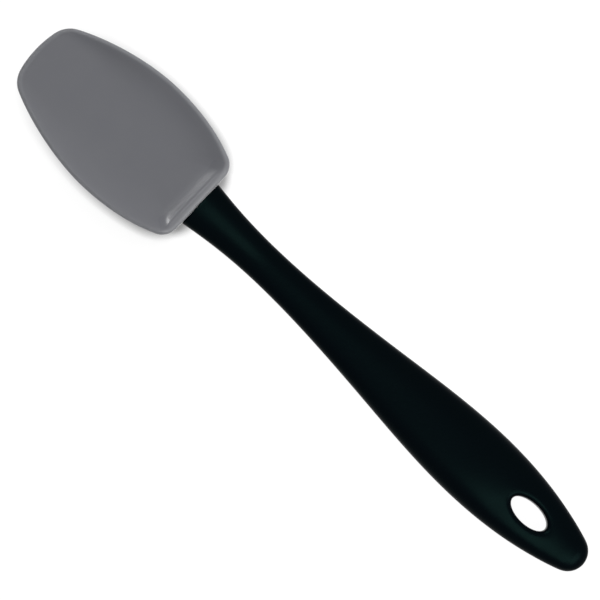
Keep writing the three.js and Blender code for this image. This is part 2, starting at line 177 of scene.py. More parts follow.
def core_bar(name, wider=0.0, thicker=0.0, longer=0.0, teeth=0):
    """The bar of the core, grown all round by the amounts asked for."""
    start, stop = core_low.x - longer, core_high.x + longer
    last_tooth = core_high.x - CORE_END_ROUND - TOOTH_RAMP
    tooth_starts = [last_tooth - k * TOOTH_PITCH for k in range(teeth)]

    def station(x):
        tooth = sum(
            TOOTH_DEPTH * (1 - (x - begin) / TOOTH_RAMP)
            for begin in tooth_starts
            if begin <= x <= begin + TOOTH_RAMP
        )
        rounded = nose_share(min(x - start, stop - x), CORE_END_ROUND)
        half_width = core_half_width(x) + wider + tooth - CORE_END_ROUND * (1 - rounded)
        thinned = CORE_END_THINNED + (1 - CORE_END_THINNED) * rounded
        half_thickness = (core_half_thickness(x) + thicker) * thinned
        return x, core_middle(x), half_width, half_thickness

    nose = nose_steps(CORE_END_ROUND, CORE_END_STEPS)
    along = even_steps(start + CORE_END_ROUND, stop - CORE_END_ROUND, CORE_STEP)
    steps = [x for begin in tooth_starts for x in (begin - TOOTH_BACK, begin)]
    forward = sorted(along + steps) + sorted(stop - d for d in nose)
    backward = [start + CORE_END_ROUND] + sorted((start + d for d in nose), reverse=True)

    x, z, half_width, half_thickness = station(forward[0])
    bpy.ops.object.select_all(action="DESELECT")
    bpy.ops.mesh.primitive_plane_add(size=1, location=(x, 0, z), rotation=(0, math.pi / 2, 0))
    bpy.ops.object.transform_apply()
    bar = bpy.context.object
    bar.name = bar.data.name = name
    bpy.ops.object.mode_set(mode="EDIT")
    bpy.ops.transform.resize(value=(1, 2 * half_width, 2 * half_thickness), center_override=(x, 0, z))
    bpy.ops.mesh.bevel(affect="VERTICES", offset=CORE_EDGE_ROUND, segments=CORE_EDGE_STEPS)
    carry_on([station(x) for x in forward])
    pick("FACE", lambda middle: abs(middle.x - forward[0]) < NEARBY)
    carry_on([station(x) for x in backward])
    closed_and_outward()
    bpy.ops.object.mode_set(mode="OBJECT")
    return bar


core = core_bar("nylon_core", teeth=TOOTH_COUNT)
for k in range(KEY_HOLE_COUNT):
    x = core_low.x + CORE_END_ROUND + 2 * KEY_HOLE_RADIUS + k * KEY_HOLE_PITCH
    bpy.ops.mesh.primitive_cylinder_add(
        vertices=KEY_HOLE_SIDES,
        radius=KEY_HOLE_RADIUS,
        depth=3 * CORE_THICKNESS,
        location=(x, 0, core_middle(x)),
    )
    cut_away(core, bpy.context.object)
core.select_set(True)
bpy.ops.object.shade_smooth_by_angle(angle=SHARP_ANGLE)
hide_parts("tang_core")
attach(core, "handle")


# Glass-filled nylon, moulded: a dull dark grey whose short glass fibres lie in streaks along the flow, with
# a rougher skin where they reach the surface. The fibres are finer than a render shows, so the streaks are
# drawn 0.8 mm wide.
NYLON_GREY = "2B2D2F"
NYLON_STREAK = "393C3E"
STREAK_WIDTH = 0.8 * MM
STREAK_LENGTH = 14.0 * MM
STREAK_HEIGHT = 0.05 * MM
NYLON_ROUGHNESS = (0.5, 0.7)


def linear(colour):
    """An sRGB hex colour as linear red, green, blue and alpha."""
    shares = [int(colour[k:k + 2], 16) / 255 for k in (0, 2, 4)]
    return [s / 12.92 if s <= 0.04045 else ((s + 0.055) / 1.055) ** 2.4 for s in shares] + [1.0]


def new_material(piece, name):
    """A material with an empty node tree, as the only one of a piece."""
    material = bpy.data.materials.new(name)
    material.use_nodes = True
    material.node_tree.nodes.clear()
    piece.data.materials.clear()
    piece.data.materials.append(material)
    return material.node_tree


def add_node(tree, kind, inputs=None, **settings):
    """Adds a node with its settings; each input is a value, or a node's output to link."""
    node = tree.nodes.new(kind)
    for name, value in settings.items():
        setattr(node, name, value)
    for name, value in (inputs or {}).items():
        if isinstance(value, bpy.types.NodeSocket):
            tree.links.new(value, node.inputs[name])
        else:
            node.inputs[name].default_value = value
    return node


tree = new_material(core, "glass_filled_nylon")
place = add_node(tree, "ShaderNodeTexCoord").outputs["Object"]
along = (1 / STREAK_LENGTH, 1 / STREAK_WIDTH, 1 / STREAK_WIDTH)
stretched = add_node(tree, "ShaderNodeMapping", {"Vector": place, "Scale": along})
streaks = add_node(
    tree, "ShaderNodeTexNoise", {"Vector": stretched.outputs["Vector"], "Scale": 1.0, "Detail": 3.0}
)
tint = add_node(
    tree,
    "ShaderNodeMix",
    {0: streaks.outputs["Fac"], 6: linear(NYLON_GREY), 7: linear(NYLON_STREAK)},
    data_type="RGBA",
)
dull = add_node(
    tree,
    "ShaderNodeMapRange",
    {"Value": streaks.outputs["Fac"], "To Min": NYLON_ROUGHNESS[0], "To Max": NYLON_ROUGHNESS[1]},
)
fibres = add_node(
    tree, "ShaderNodeBump", {"Height": streaks.outputs["Fac"], "Strength": 0.3, "Distance": STREAK_HEIGHT}
)
skin = add_node(
    tree,
    "ShaderNodeBsdfPrincipled",
    {
        "Base Color": tint.outputs[2],
        "Roughness": dull.outputs["Result"],
        "Normal": fibres.outputs["Normal"],
        "IOR": 1.53,
    },
)
add_node(tree, "ShaderNodeOutputMaterial", {"Surface": skin.outputs["BSDF"]})

# Handle
# One thick moulding of black polypropylene, shot round the shank of the core: a grip that swells and
# narrows to a slim neck, an oval hanging hole with rounded edges near its tail, and a flat end that the
# head butts against.
handle_low, handle_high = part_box("handle")
TAIL = handle_low.x
BELLY = TAIL + 53.4 * MM
TAIL_RADIUS = 7.6 * MM
TAIL_FLARE = math.radians(19)
BELLY_HALF_WIDTH = handle_high.y
NECK_HALF_WIDTH = 7.0 * MM
SEAM_HALF_WIDTH = 9.7 * MM
SEAM_FLARE = 0.17
GRIP_HOLLOW = 0.4 * MM
GRIP_STEEPNESS = 1.45
TAIL_LIFT = 1.4 * MM
TAIL_THICKNESS = 8.4 * MM
BELLY_THICKNESS = 13.8 * MM
NECK_LIFT = 3.6 * MM
NECK_THICKNESS = 8.6 * MM
SEAM_LIFT = 0.8 * MM
SEAM_THICKNESS = 8.8 * MM
SEAM_EDGE = 0.5 * MM
SEAM_EDGE_TRIM = 0.1 * MM
SEAM_FACE_INSET = 1.0 * MM
SECTION_POINTS = 16
SQUARENESS = 2.5
TAIL_STEPS = (0.02, 0.25, 0.7, 1.4, 2.4, 3.7, 5.4, 7.4, 9.8)
HANDLE_STEP = 7.0 * MM
LAST_STEP = 3.0 * MM
SMOOTHING = 3
HOLE = TAIL + 27.2 * MM
HOLE_HALF_LENGTH = 8.4 * MM
HOLE_HALF_WIDTH = 4.1 * MM
SOCKET_CLEARANCE = 0.3 * MM

grip_run = NECK - BELLY
tail_arc_end = TAIL + TAIL_RADIUS * (1 - math.sin(TAIL_FLARE))
handle_side = smooth_line(
    (tail_arc_end, TAIL_RADIUS * math.cos(TAIL_FLARE), math.tan(TAIL_FLARE)),
    (BELLY, BELLY_HALF_WIDTH, 0),
    (
        BELLY + grip_run / 2,
        (BELLY_HALF_WIDTH + NECK_HALF_WIDTH) / 2 - GRIP_HOLLOW,
        -GRIP_STEEPNESS * (BELLY_HALF_WIDTH - NECK_HALF_WIDTH) / grip_run,
    ),
    (NECK, NECK_HALF_WIDTH, 0),
    (SEAM, SEAM_HALF_WIDTH, SEAM_FLARE),
)
handle_underside = smooth_line(
    (TAIL, TAIL_LIFT, 0),
    (BELLY, 0, 0),
    (NECK, NECK_LIFT, 0),
    (SEAM, SEAM_LIFT, 0),
)
handle_thickness = smooth_line(
    (TAIL, TAIL_THICKNESS, 0),
    (BELLY, BELLY_THICKNESS, 0),
    (NECK, NECK_THICKNESS, 0),
    (SEAM, SEAM_THICKNESS, 0),
)


def handle_station(x, trim=0.0):
    """Where the middle of the handle lies, and its half width and half height, at a distance along it."""
    nose = nose_share(x - TAIL, TAIL_RADIUS)
    half_width = TAIL_RADIUS * nose if x < tail_arc_end else handle_side(x)
    half_height = handle_thickness(x) / 2 * nose
    middle = handle_underside(x) + handle_thickness(x) / 2
    return x, middle, half_width - trim, half_height - trim


# along it: growing steps from the tail, in millimetres, then even ones past the hole and up the grip
tail = [TAIL + step * MM for step in TAIL_STEPS]
round_hole = [HOLE + k * HANDLE_STEP for k in range(-2, 3)]
grip = even_steps(round_hole[-1], SEAM - LAST_STEP, HANDLE_STEP)[1:]
stations = [handle_station(x) for x in tail + round_hole + grip + [SEAM - SEAM_EDGE]]
stations.append(handle_station(SEAM, SEAM_EDGE_TRIM))

x, z, half_width, half_height = stations[0]
bpy.ops.object.select_all(action="DESELECT")
bpy.ops.mesh.primitive_circle_add(
    vertices=SECTION_POINTS, radius=1, location=(x, 0, z), rotation=(0, math.pi / 2, 0)
)
bpy.ops.object.transform_apply()
handle = bpy.context.object
handle.name = handle.data.name = "black_handle"
bpy.ops.object.mode_set(mode="EDIT")
# The section is a squared oval: its corners stand further out than an ellipse's.
CAGE_SIZE = 1.013
CORNER_SIZE = 1.121 / CAGE_SIZE
BESIDE_CORNER_SIZE = 1.055 / CAGE_SIZE
ASIDE_SLACK = 0.01
for size, points_on in ((CORNER_SIZE, 2), (BESIDE_CORNER_SIZE, 1)):
    turn = points_on * 2 * math.pi / SECTION_POINTS
    places = (math.sin(turn), math.cos(turn))
    pick("VERT", lambda p: any(abs(abs(p.y) - aside) < ASIDE_SLACK for aside in places))
    bpy.ops.transform.resize(value=(1, size, size), center_override=(x, 0, z))
bpy.ops.mesh.select_all(action="SELECT")
size = (1, CAGE_SIZE * half_width, CAGE_SIZE * half_height)
bpy.ops.transform.resize(value=size, center_override=(x, 0, z))
carry_on(stations)
# its flat end, and the round tail
carry_on([stations[-1], handle_station(SEAM, SEAM_FACE_INSET)])
bpy.ops.mesh.fill_grid(span=SECTION_POINTS // 4)
pick("VERT", lambda p: p.x < tail[0] + NEARBY)
bpy.ops.mesh.fill_grid(span=SECTION_POINTS // 4)


def handle_rise(x, y):
    """How far the skin of the handle lies above and below its middle."""
    _, _, half_width, half_height = handle_station(x)
    return half_height * max(0.0, 1 - (abs(y) / half_width) ** SQUARENESS) ** (1 / SQUARENESS)


def drape(height):
    """In edit mode, moves the selected points straight up or down to the height at their place."""
    mesh = bmesh.from_edit_mesh(bpy.context.object.data)
    for point in mesh.verts:
        if point.select:
            point.co.z = height(point.co.x, point.co.y)
    bmesh.update_edit_mesh(bpy.context.object.data)


# the hanging hole: the skin is opened above and below, and a ring is carried from one opening to the other.
# Each ring of its rounded edge is given by the millimetres outside the hole's wall and below the skin.
PATCH_STEPS = 2.1
PATCH_SHARE = 0.72
HOLE_POINTS = 16
HOLE_EDGE_RINGS = ((2.4, 0.0), (1.0, 0.25), (0.1, 1.2), (0.0, 3.0))


def near_hole(p):
    """True inside the patch of skin, two steps each way, that the hole opens."""
    return abs(p.x - HOLE) < PATCH_STEPS * HANDLE_STEP and abs(p.y) < PATCH_SHARE * handle_station(p.x)[2]


pick("FACE", near_hole)
bpy.ops.mesh.delete(type="FACE")
hole_rings = [(offset * MM, depth * MM, 1) for offset, depth in HOLE_EDGE_RINGS]
hole_rings += [(offset, depth, -1) for offset, depth, _ in reversed(hole_rings)]
bpy.ops.mesh.select_mode(type="EDGE")
bpy.ops.mesh.primitive_circle_add(vertices=HOLE_POINTS, radius=1, location=(HOLE, 0, 0))
size = Vector((1, 1, 1))
for k, (offset, depth, side) in enumerate(hole_rings):
    if k > 0:
        bpy.ops.mesh.extrude_region_move()
    new_size = Vector((HOLE_HALF_LENGTH + offset, HOLE_HALF_WIDTH + offset, 1))
    change = [new / old for new, old in zip(new_size, size)]
    bpy.ops.transform.resize(value=change, center_override=(HOLE, 0, 0))
    size = new_size
    drape(lambda x, y: handle_station(x)[1] + side * (handle_rise(x, y) - depth))
for side in (1, -1):
    pick("EDGE", lambda p: side * (p.z - handle_station(p.x)[1]) > 0, open_only=True)
    bpy.ops.mesh.bridge_edge_loops()
closed_and_outward()
bpy.ops.object.mode_set(mode="OBJECT")
apply_modifier(handle, "SUBSURF", levels=SMOOTHING, render_levels=SMOOTHING)
cut_away(handle, core_bar("socket_tool", SOCKET_CLEARANCE, SOCKET_CLEARANCE, SOCKET_CLEARANCE))
handle.select_set(True)
bpy.ops.object.shade_smooth_by_angle(angle=SHARP_ANGLE)
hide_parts("handle")
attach(handle, "handle")


# Black polypropylene, moulded in a finely blasted mould: deep black with a hint of green, and so little gloss
# that only a soft sheen shows along the top. The blasted grain is finer than a render shows, so it is drawn
# 0.7 mm wide, over wide faint clouds where hands have polished it.
PLASTIC_BLACK = "020207"
PLASTIC_POLISHED = "030408"
PLASTIC_SHEEN = "9FFFED"
PLASTIC_ROUGHNESS = (0.31, 0.26)
GRAIN_WIDTH = 0.7 * MM
GRAIN_HEIGHT = 0.04 * MM
CLOUD_WIDTH = 16.0 * MM

tree = new_material(handle, "black_polypropylene")
place = add_node(tree, "ShaderNodeTexCoord").outputs["Object"]
grain = add_node(tree, "ShaderNodeTexNoise", {"Vector": place, "Scale": 1 / GRAIN_WIDTH, "Detail": 2.0})
clouds = add_node(tree, "ShaderNodeTexNoise", {"Vector": place, "Scale": 1 / CLOUD_WIDTH, "Detail": 3.0})
tint = add_node(
    tree,
    "ShaderNodeMix",
    {0: clouds.outputs["Fac"], 6: linear(PLASTIC_BLACK), 7: linear(PLASTIC_POLISHED)},
    data_type="RGBA",
)
gloss = add_node(
    tree,
    "ShaderNodeMapRange",
    {"Value": clouds.outputs["Fac"], "To Min": PLASTIC_ROUGHNESS[0], "To Max": PLASTIC_ROUGHNESS[1]},
)
bump = add_node(
    tree, "ShaderNodeBump", {"Height": grain.outputs["Fac"], "Strength": 0.25, "Distance": GRAIN_HEIGHT}
)
skin = add_node(
    tree,
    "ShaderNodeBsdfPrincipled",
    {
        "Base Color": tint.outputs[2],
        "Roughness": gloss.outputs["Result"],
        "Normal": bump.outputs["Normal"],
        "IOR": 1.49,
        "Specular IOR Level": 0.034,
        "Specular Tint": linear(PLASTIC_SHEEN),
    },
)
add_node(tree, "ShaderNodeOutputMaterial", {"Surface": skin.outputs["BSDF"]})

# Head
# A soft scoop of grey silicone, moulded in one piece: a shallow bowl with a round rim and a nearly straight
# scraping edge at its tip. A closed pocket in its thick back end is pushed over the tang of the core, and
# the teeth hold it there.
head_low, head_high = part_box("silicone_head")
BACK = head_low.x
TIP = head_high.x
HEAD_HALF_WIDTH = head_high.y
WIDEST = TIP - 47.0 * MM
TIP_RADIUS = 40.8 * MM
TIP_CORNER_RADIUS = 9.9 * MM
TIP_CORNER_ASIDE = 6.85 * MM
TIP_SIDE = math.radians(65)
SHOULDER_RADIUS = 7.0 * MM
SHOULDER_ASIDE = 12.9 * MM
SHOULDER_SIDE = math.radians(115)
SIDE_PULL = 0.3
LEDGE_STEP = 1.0 * MM
LEDGE_HEIGHT = SEAM_LIFT + SEAM_THICKNESS + LEDGE_STEP
LEDGE_WIDTH = 4.6 * MM
LEDGE_ROUND = 2.2 * MM
RIM_RADIUS = 1.2 * MM
BOWL_DEPTH = 3.2 * MM
FLOOR_HEIGHT = 8.2 * MM
TIP_RUN_OUT = 32.0 * MM
TIP_HEIGHT = 3.5 * MM
TIP_LIP = 0.6 * MM
TIP_SLOPE = 0.24
TIP_WALL_SWEEP = 5.0 * MM
SIDE_WALL_SWEEP = 18.0 * MM
REAR_WALL_SWEEP = 14.0 * MM
WALL_FLARE = 3
SPINE_START = 0.9
SOLE_DROP_RUN = 14.0 * MM
SOLE_DROP_SLOPE = -0.1
HULL_LEAN = 0.7
SOLE_FLARE = 3
COLLAR_HALF_WIDTH = 8.6 * MM
POCKET_CLEARANCE = 0.3 * MM


def arc(middle, radius, start, stop, count, first=0.0):
    """Points on an arc, from a share of the first step on, with each point's direction outward."""
    turns = [start + (stop - start) * (k + first) / (count + first) for k in range(count + 1)]
    outward = [Vector((math.cos(turn), math.sin(turn))) for turn in turns]
    return [(middle + radius * way, way) for way in outward]


def side_curve(start, stop, count):
    """Points on a curve from one place to another, along the outline's direction at both."""
    (begin, begin_out), (end, end_out) = start, stop
    run = SIDE_PULL * abs(end.x - begin.x)
    leave = begin + run * Vector((-1, begin_out.x / begin_out.y))
    arrive = end + run * Vector((1, -end_out.x / end_out.y))
    points = [p.to_2d() for p in interpolate_bezier(begin, leave, arrive, end, count + 1)]
    along = [b - a for a, b in zip(points[:-2], points[2:])]
    outward = [Vector((way.y, -way.x)).normalized() for way in along]
    return list(zip(points[1:-1], outward))


def smooth_share(value, low, high):
    """0 up to the low value, 1 from the high one on, and an easy slope between."""
    t = min(1.0, max(0.0, (value - low) / (high - low)))
    return t * t * (3 - 2 * t)


# its outline from above: one side from the tip to the back, and the other side mirrored
BACK_EDGE_SHARES = (0.72, 0.45, 0.16)
corner_reach = TIP_RADIUS - TIP_CORNER_RADIUS
tip_turn = math.asin(TIP_CORNER_ASIDE / corner_reach)
tip_middle = Vector((TIP - TIP_RADIUS, 0))
corner_middle = tip_middle + corner_reach * Vector((math.cos(tip_turn), math.sin(tip_turn)))
shoulder_middle = Vector((BACK + SHOULDER_RADIUS, SHOULDER_ASIDE))
tip_edge = arc(tip_middle, TIP_RADIUS, 0, tip_turn, count=2, first=0.5)
corner = arc(corner_middle, TIP_CORNER_RADIUS, tip_turn, TIP_SIDE, count=4)
widest = (Vector((WIDEST, HEAD_HALF_WIDTH)), Vector((0, 1)))
shoulder = arc(shoulder_middle, SHOULDER_RADIUS, SHOULDER_SIDE, math.pi, count=5)
back_edge = [(Vector((BACK, SHOULDER_ASIDE * share)), Vector((-1, 0))) for share in BACK_EDGE_SHARES]
one_side = tip_edge[:-1] + corner + side_curve(corner[-1], widest, count=6) + [widest]
one_side += side_curve(widest, shoulder[0], count=4) + shoulder + back_edge
mirror = Matrix.Diagonal((1, -1))
outline = one_side + [(mirror @ point, mirror @ way) for point, way in reversed(one_side)]
# the smoothing draws the outline in a little, so its points stand that much further out
OUTLINE_SWELL = 0.06 * MM
outline = [(point + way * OUTLINE_SWELL, way) for point, way in outline]

bpy.ops.object.select_all(action="DESELECT")
bpy.ops.mesh.primitive_circle_add(vertices=len(outline), radius=HEAD_HALF_WIDTH)
head = bpy.context.object
head.name = head.data.name = "grey_head"
place_layer = head.data.attributes.new("place", "INT", "POINT")
place_layer.data.foreach_set("value", range(len(outline)))

spine_start = BACK + SPINE_START * (WIDEST - BACK)
spine_end = TIP - 2 * TIP_CORNER_RADIUS
floor_height = smooth_line(
    (SEAM, FLOOR_HEIGHT, 0),
    (core_high.x, FLOOR_HEIGHT, 0),
    (TIP, TIP_HEIGHT - TIP_LIP, -TIP_SLOPE),
)
sole_height = smooth_line(
    (BACK, SEAM_LIFT, SOLE_DROP_SLOPE),
    (BACK + SOLE_DROP_RUN, 0, 0),
    (TIP, 0, 0),
)


def spine_at(point):
    """The nearest place on a line along the middle of the bowl, which every wall leans toward."""
    return Vector((min(spine_end, max(spine_start, point.x)), 0))


def toward_tip(point):
    """0 at the back of the head and 1 at its tip."""
    return (point.x - BACK) / (TIP - BACK)


def ledge_share(point):
    """1 along the seam, where the rim dips and widens to a ledge, and 0 round most of the rim."""
    if point.x > WIDEST:
        return 0.0
    return 1 - smooth_share(abs(point.y), SEAM_HALF_WIDTH, HEAD_HALF_WIDTH - RIM_RADIUS)


def rim_height(point):
    """How high the rim stands, from the thin tip to the shoulders, and down to the ledge."""
    depth = BOWL_DEPTH + (TIP_LIP - BOWL_DEPTH) * smooth_share(point.x, TIP - TIP_RUN_OUT, TIP)
    height = floor_height(point.x) + depth
    return height + (LEDGE_HEIGHT - height) * ledge_share(point)


def collar_share(point):
    """1 along the straight back edge, which drops straight down to the socket's underside, and else 0."""
    if point.x > WIDEST:
        return 0.0
    return 1 - smooth_share(abs(point.y), SHOULDER_ASIDE, SHOULDER_ASIDE + SHOULDER_RADIUS)


def collar_underside(y):
    """How high the underside of the back end lies: it carries on the round section of the handle."""
    half_height = SEAM_THICKNESS / 2
    share = min(1.0, abs(y) / SEAM_HALF_WIDTH)
    return SEAM_LIFT + half_height * (1 - (1 - share**SQUARENESS) ** (1 / SQUARENESS))


# the head's skin from ring to ring: shares of the way down the hull, in along the sole, down the inner wall
# and in along the floor, and turns over the rim in degrees
HULL_SHARES = (0.08, 0.3, 0.55, 0.78, 0.94, 1)
SOLE_SHARES = (0.08, 0.3, 0.6, 0.85)
RIM_TURNS = (40, 80, 100, 125)
WALL_SHARES = (0.15, 0.35, 0.6, 0.85, 1)
FLOOR_SHARES = (0.3, 0.6, 0.85)
SIDE_SWEEP_FROM = 0.5


def outside(share):
    """The hull at a share of the way from the rim to the sole: upright at the top and level at the end."""
    sideways, down = 1 - math.cos(share * math.pi / 2), math.sin(share * math.pi / 2)

    def level(point, way):
        collar = collar_share(point)
        top = rim_height(point) - RIM_RADIUS
        lean = (spine_at(point) - point).normalized() * HULL_LEAN * top
        tuck = Vector((0, -point.y * (1 - COLLAR_HALF_WIDTH / SHOULDER_ASIDE)))
        inward = lean.lerp(tuck, collar)
        end = point + inward
        sole = sole_height(end.x)
        bottom = sole + (collar_underside(end.y) - sole) * collar
        return point + inward * sideways, top - (top - bottom) * down

    return level


def underneath(share):
    """The sole at a share of the way from the hull to the spine."""
    def level(point, way):
        edge, height = outside(1)(point, way)
        plan = edge.lerp(spine_at(point), share)
        lift = height - sole_height(edge.x)
        return plan, sole_height(plan.x) + lift * (1 - share) ** SOLE_FLARE

    return level


def over_rim(degrees):
    """The round rim at a turn from its outer side over its top; the ledge is a wider, flatter round."""
    turn = math.radians(degrees)

    def level(point, way):
        ledge = ledge_share(point)
        width = 2 * RIM_RADIUS + (LEDGE_WIDTH - 2 * RIM_RADIUS) * ledge
        radius = RIM_RADIUS + (LEDGE_ROUND - RIM_RADIUS) * ledge
        inset = radius * (1 - math.cos(turn)) if degrees < 90 else width - radius * (1 + math.cos(turn))
        return point - way * inset, rim_height(point) - RIM_RADIUS * (1 - math.sin(turn))

    return level


def inside(share):
    """The inner wall at a share of its sweep: it leaves the rim steeply and flattens out into the floor."""
    tip_share = TIP_WALL_SWEEP / (TIP - spine_end)
    side_share = SIDE_WALL_SWEEP / HEAD_HALF_WIDTH
    rear_share = REAR_WALL_SWEEP / (spine_start - BACK - LEDGE_WIDTH)

    def level(point, way):
        start, top = over_rim(RIM_TURNS[-1])(point, way)
        along = smooth_share(1 - toward_tip(point), 0, SIDE_SWEEP_FROM)
        sweep = tip_share + (side_share - tip_share) * along
        sweep += (rear_share - sweep) * ledge_share(point)
        plan = start.lerp(spine_at(point), sweep * share)
        wall = (top - floor_height(start.x)) * (1 - share) ** WALL_FLARE
        return plan, floor_height(plan.x) + wall

    return level


def floor(share):
    """The floor of the bowl at a share of the way from the foot of the wall to the spine."""
    def level(point, way):
        foot, _ = inside(1)(point, way)
        plan = foot.lerp(spine_at(point), share)
        return plan, floor_height(plan.x)

    return level


def set_ring(level):
    """In edit mode, moves each selected point of the ring to its place at a level of the head."""
    mesh = bmesh.from_edit_mesh(head.data)
    place = mesh.verts.layers.int["place"]
    for vert in mesh.verts:
        if vert.select:
            plan, height = level(*outline[vert[place]])
            vert.co = (plan.x, plan.y, height)
    bmesh.update_edit_mesh(head.data)


def carry_ring(levels):
    """Extrudes the selected ring from level to level, and joins its two sides across the last one."""
    for level in levels:
        bpy.ops.mesh.extrude_region_move()
        set_ring(level)
    bpy.ops.mesh.select_mode(type="EDGE")
    mesh = bmesh.from_edit_mesh(head.data)
    for edge in mesh.edges:
        if edge.verts[0].co.y * edge.verts[1].co.y < 0:
            edge.select_set(False)
    bmesh.update_edit_mesh(head.data)
    bpy.ops.mesh.bridge_edge_loops()


bpy.ops.object.mode_set(mode="EDIT")
bpy.ops.mesh.select_mode(type="EDGE")
bpy.ops.mesh.select_all(action="SELECT")
set_ring(outside(0))
hull = [outside(share) for share in HULL_SHARES]
carry_ring(hull + [underneath(share) for share in SOLE_SHARES])
pick("EDGE", lambda p: True, open_only=True)
wall = [over_rim(turn) for turn in RIM_TURNS]
wall += [inside(share) for share in WALL_SHARES]
carry_ring(wall + [floor(share) for share in FLOOR_SHARES])
closed_and_outward()
bpy.ops.object.mode_set(mode="OBJECT")
# how much painted light each point of the skin carries: the rim, and most of all the edge along the seam, are
# painted paler as if lit brighter; and how smooth it is, on the ledge and where the bowl rises to it
PAINTED_LIGHT_WIDTH = 2.2 * MM
RIM_PAINTED_LIGHT = 0.5
SMOOTH_FROM_LEDGE = 0.5
for name in ("painted_edge_light", "smooth"):
    head.data.attributes.new(name, "FLOAT", "POINT")
marks = head.data.attributes
for k, vert in enumerate(head.data.vertices):
    point, _ = outline[marks["place"].data[k].value]
    inset = (vert.co.to_2d() - point).length
    depth = rim_height(point) - vert.co.z
    ledge = ledge_share(point)
    on_top = 1 - smooth_share(inset, RIM_RADIUS / 2, PAINTED_LIGHT_WIDTH + (LEDGE_WIDTH - PAINTED_LIGHT_WIDTH) * ledge)
    on_top *= 1 - smooth_share(depth, RIM_RADIUS, 3 * RIM_RADIUS)
    at_seam = ledge * (1 - smooth_share(inset, RIM_RADIUS, PAINTED_LIGHT_WIDTH))
    near_ledge = 1 - smooth_share(inset, LEDGE_WIDTH + RIM_RADIUS, 2 * LEDGE_WIDTH)
    marks["painted_edge_light"].data[k].value = on_top * (RIM_PAINTED_LIGHT + (1 - RIM_PAINTED_LIGHT) * at_seam)
    marks["smooth"].data[k].value = near_ledge * smooth_share(ledge, 0, SMOOTH_FROM_LEDGE)
apply_modifier(head, "SUBSURF", levels=SMOOTHING, render_levels=SMOOTHING)
cut_away(head, core_bar("pocket_tool", POCKET_CLEARANCE + TOOTH_DEPTH, POCKET_CLEARANCE, POCKET_CLEARANCE))
head.data.attributes.remove(head.data.attributes["place"])
head.select_set(True)
bpy.ops.object.shade_smooth_by_angle(angle=SHARP_ANGLE)
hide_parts("silicone_head")
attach(head, "head")


# Grey silicone, moulded and cured in a matt mould: an even mid grey with a wide, weak sheen. The rim, and
# most of all the edge along the seam, are painted paler, painted light that stands in for a brighter rim and
# a highlight along the seam. The ledge there is smooth enough to shine a little. The grain is finer than a
# render shows, so it is drawn 0.6 mm wide. The pigment is mixed a little unevenly, and fingers leave broad
# patches that are slightly less matt.
SILICONE_GREY = "64656A"
SILICONE_PALE = "67686C"
# painted light: the paler grey laid on the rim and, palest, along the seam as a painted highlight
SILICONE_PAINTED_LIGHT = "828386"
MATT_ROUGHNESS = (0.48, 0.6)
SMOOTH_ROUGHNESS = 0.16
SILICONE_GRAIN = 0.6 * MM
SILICONE_GRAIN_HEIGHT = 0.03 * MM
PIGMENT_WIDTH = 8.0 * MM
TOUCH_WIDTH = 22.0 * MM

tree = new_material(head, "grey_silicone_rubber")
place = add_node(tree, "ShaderNodeTexCoord").outputs["Object"]
grain = add_node(tree, "ShaderNodeTexNoise", {"Vector": place, "Scale": 1 / SILICONE_GRAIN, "Detail": 2.0})
pigment = add_node(tree, "ShaderNodeTexNoise", {"Vector": place, "Scale": 1 / PIGMENT_WIDTH, "Detail": 4.0})
touch = add_node(tree, "ShaderNodeTexNoise", {"Vector": place, "Scale": 1 / TOUCH_WIDTH, "Detail": 2.0})
tint = add_node(
    tree,
    "ShaderNodeMix",
    {0: pigment.outputs["Fac"], 6: linear(SILICONE_GREY), 7: linear(SILICONE_PALE)},
    data_type="RGBA",
)
# painted light: mixes the paler grey in where the rim and the seam edge are painted as if lit
painted_edge_light = add_node(tree, "ShaderNodeAttribute", attribute_name="painted_edge_light")
tint = add_node(
    tree,
    "ShaderNodeMix",
    {0: painted_edge_light.outputs["Fac"], 6: tint.outputs[2], 7: linear(SILICONE_PAINTED_LIGHT)},
    data_type="RGBA",
)
matt = add_node(
    tree,
    "ShaderNodeMapRange",
    {"Value": touch.outputs["Fac"], "To Min": MATT_ROUGHNESS[0], "To Max": MATT_ROUGHNESS[1]},
)
smooth = add_node(tree, "ShaderNodeAttribute", attribute_name="smooth")
matt = add_node(
    tree,
    "ShaderNodeMapRange",
    {"Value": smooth.outputs["Fac"], "To Min": matt.outputs["Result"], "To Max": SMOOTH_ROUGHNESS},
)
bump = add_node(
    tree,
    "ShaderNodeBump",
    {"Height": grain.outputs["Fac"], "Strength": 0.25, "Distance": SILICONE_GRAIN_HEIGHT},
)
skin = add_node(
    tree,
    "ShaderNodeBsdfPrincipled",
    {
        "Base Color": tint.outputs[2],
        "Roughness": matt.outputs["Result"],
        "Normal": bump.outputs["Normal"],
        "IOR": 1.41,
        "Specular IOR Level": 0.2,
        "Sheen Weight": 0.7,
        "Sheen Roughness": 0.3,
    },
)
add_node(tree, "ShaderNodeOutputMaterial", {"Surface": skin.outputs["BSDF"]})

# Floor
# A wide sheet of plain white paper under the spoon, as in a picture for a catalogue: it shows white, and its
# soft shadow round the thick back end of the head is painted into its glow.
PAPER_SIZE = 6.0
PAPER_CUTS = 3
PAPER_GAP = 0.1 * MM
bpy.ops.object.select_all(action="DESELECT")
bpy.ops.mesh.primitive_plane_add(size=PAPER_SIZE, location=(0, 0, -PAPER_GAP))
bpy.ops.object.transform_apply()
paper = bpy.context.object
paper.name = paper.data.name = "paper_floor"
bpy.ops.object.mode_set(mode="EDIT")
bpy.ops.mesh.subdivide(number_cuts=PAPER_CUTS)
bpy.ops.object.mode_set(mode="OBJECT")

